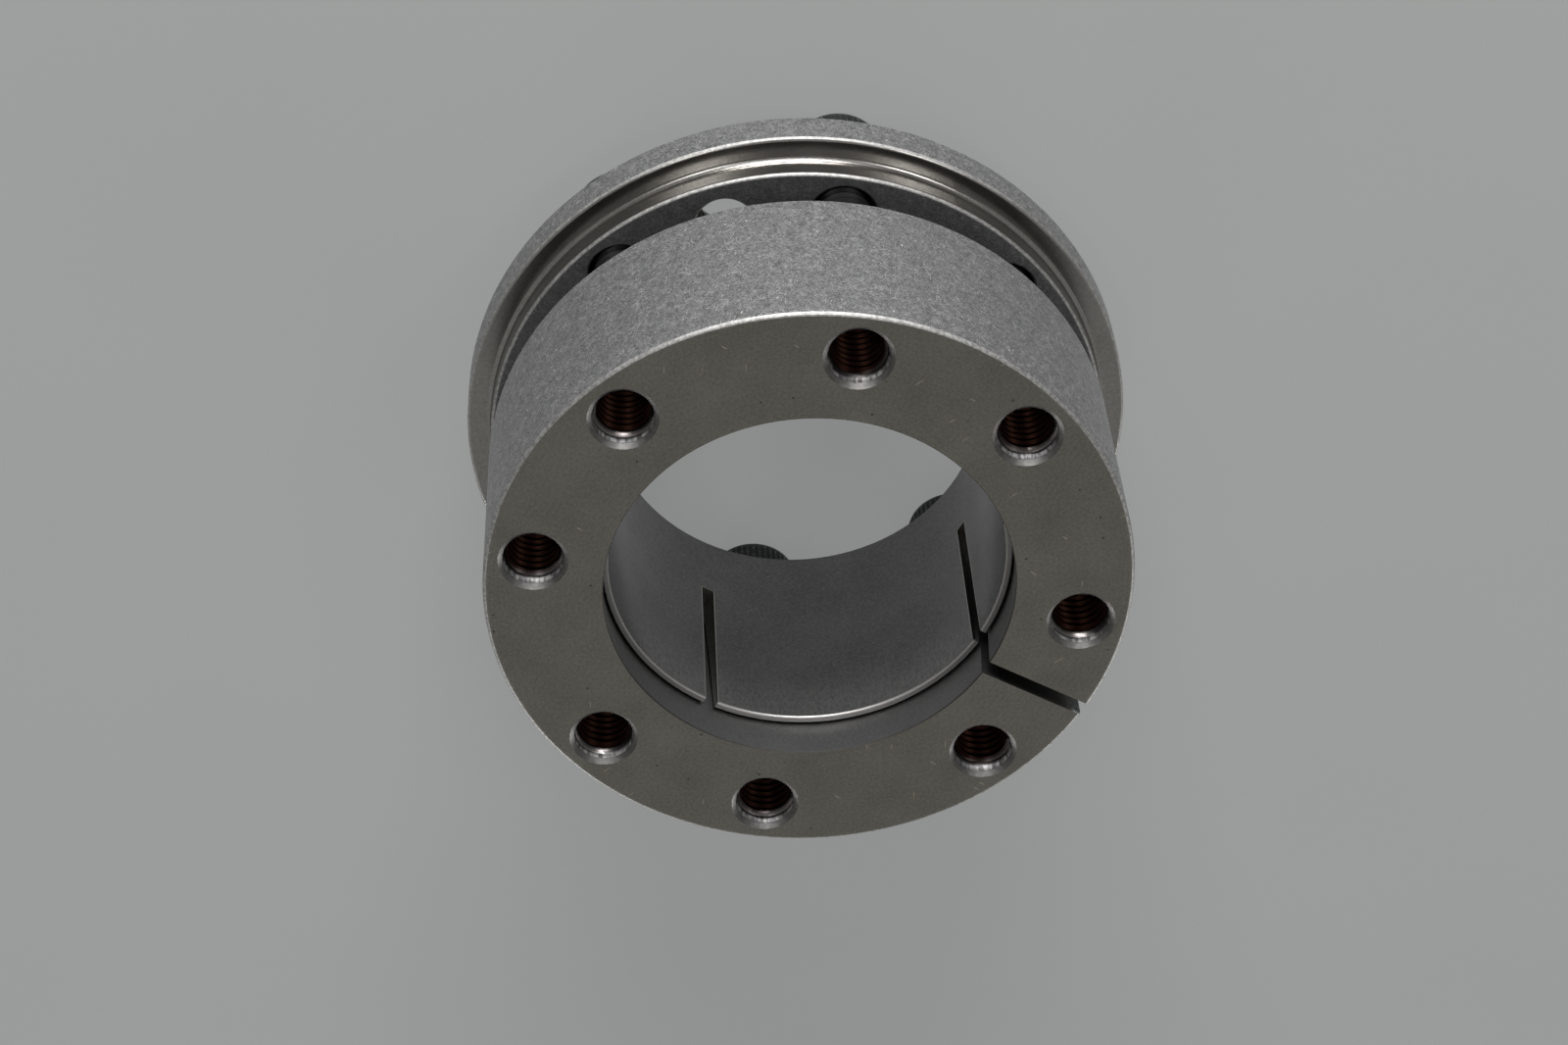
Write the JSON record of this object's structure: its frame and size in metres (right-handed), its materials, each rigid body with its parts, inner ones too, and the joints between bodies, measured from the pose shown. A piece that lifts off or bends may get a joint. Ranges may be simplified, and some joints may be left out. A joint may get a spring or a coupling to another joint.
{
  "type": "keyless locking device",
  "caption": "Keyless shaft-to-hub locking device: socket screws through a flange draw a slit outer ring along a slotted taper sleeve, which grips the shaft and fills the hub bore.",
  "frame": {"origin": "on the shaft axis, in the plane of the screw heads' ends on which the device stands", "axes": "+Z along the shaft axis from the screw heads to the tapped face of the outer ring; the outer ring's slit faces -Y"},
  "size_m": [0.07, 0.07, 0.04],
  "materials": {
    "inner_ring": "turned, lightly oiled",
    "outer_ring": "turned face, matte outside",
    "screw": "black oxide"
  },
  "bodies": {
    "inner_ring": {"inner_ring": "inner_ring"},
    "outer_ring": {"outer_ring": "outer_ring"},
    "screw_1": {"clamp_screw_1": "screw"},
    "screw_2": {"clamp_screw_2": "screw"},
    "screw_3": {"clamp_screw_3": "screw"},
    "screw_4": {"clamp_screw_4": "screw"},
    "screw_5": {"clamp_screw_5": "screw"},
    "screw_6": {"clamp_screw_6": "screw"},
    "screw_7": {"clamp_screw_7": "screw"},
    "screw_8": {"clamp_screw_8": "screw"}
  },
  "joints": [
    {"name": "clamp_travel", "type": "slide", "parent": "inner_ring", "child": "outer_ring", "axis": [0, 0, -1], "range_m": [0, 0.002]},
    {"name": "screw_1_turn", "type": "hinge", "parent": "inner_ring", "child": "screw_1", "pos_m": [-0.00947, -0.02603, 0.003], "axis": [0, 0, 1], "range_deg": [0, 720.01]},
    {"name": "screw_2_turn", "type": "hinge", "parent": "inner_ring", "child": "screw_2", "pos_m": [0.00947, -0.02603, 0.003], "axis": [0, 0, 1], "range_deg": [0, 720.01]},
    {"name": "screw_3_turn", "type": "hinge", "parent": "inner_ring", "child": "screw_3", "pos_m": [0.02603, -0.00947, 0.003], "axis": [0, 0, 1], "range_deg": [0, 720.01]},
    {"name": "screw_4_turn", "type": "hinge", "parent": "inner_ring", "child": "screw_4", "pos_m": [0.02603, 0.00947, 0.003], "axis": [0, 0, 1], "range_deg": [0, 720.01]},
    {"name": "screw_5_turn", "type": "hinge", "parent": "inner_ring", "child": "screw_5", "pos_m": [0.00947, 0.02603, 0.003], "axis": [0, 0, 1], "range_deg": [0, 720.01]},
    {"name": "screw_6_turn", "type": "hinge", "parent": "inner_ring", "child": "screw_6", "pos_m": [-0.00947, 0.02603, 0.003], "axis": [0, 0, 1], "range_deg": [0, 720.01]},
    {"name": "screw_7_turn", "type": "hinge", "parent": "inner_ring", "child": "screw_7", "pos_m": [-0.02603, 0.00947, 0.003], "axis": [0, 0, 1], "range_deg": [0, 720.01]},
    {"name": "screw_8_turn", "type": "hinge", "parent": "inner_ring", "child": "screw_8", "pos_m": [-0.02603, -0.00947, 0.003], "axis": [0, 0, 1], "range_deg": [0, 720.01]}
  ],
  "couplings": [
    {"joint": "screw_1_turn", "follows": "clamp_travel", "rad_per_m": 6283.2},
    {"joint": "screw_2_turn", "follows": "clamp_travel", "rad_per_m": 6283.2},
    {"joint": "screw_3_turn", "follows": "clamp_travel", "rad_per_m": 6283.2},
    {"joint": "screw_4_turn", "follows": "clamp_travel", "rad_per_m": 6283.2},
    {"joint": "screw_5_turn", "follows": "clamp_travel", "rad_per_m": 6283.2},
    {"joint": "screw_6_turn", "follows": "clamp_travel", "rad_per_m": 6283.2},
    {"joint": "screw_7_turn", "follows": "clamp_travel", "rad_per_m": 6283.2},
    {"joint": "screw_8_turn", "follows": "clamp_travel", "rad_per_m": 6283.2}
  ]
}
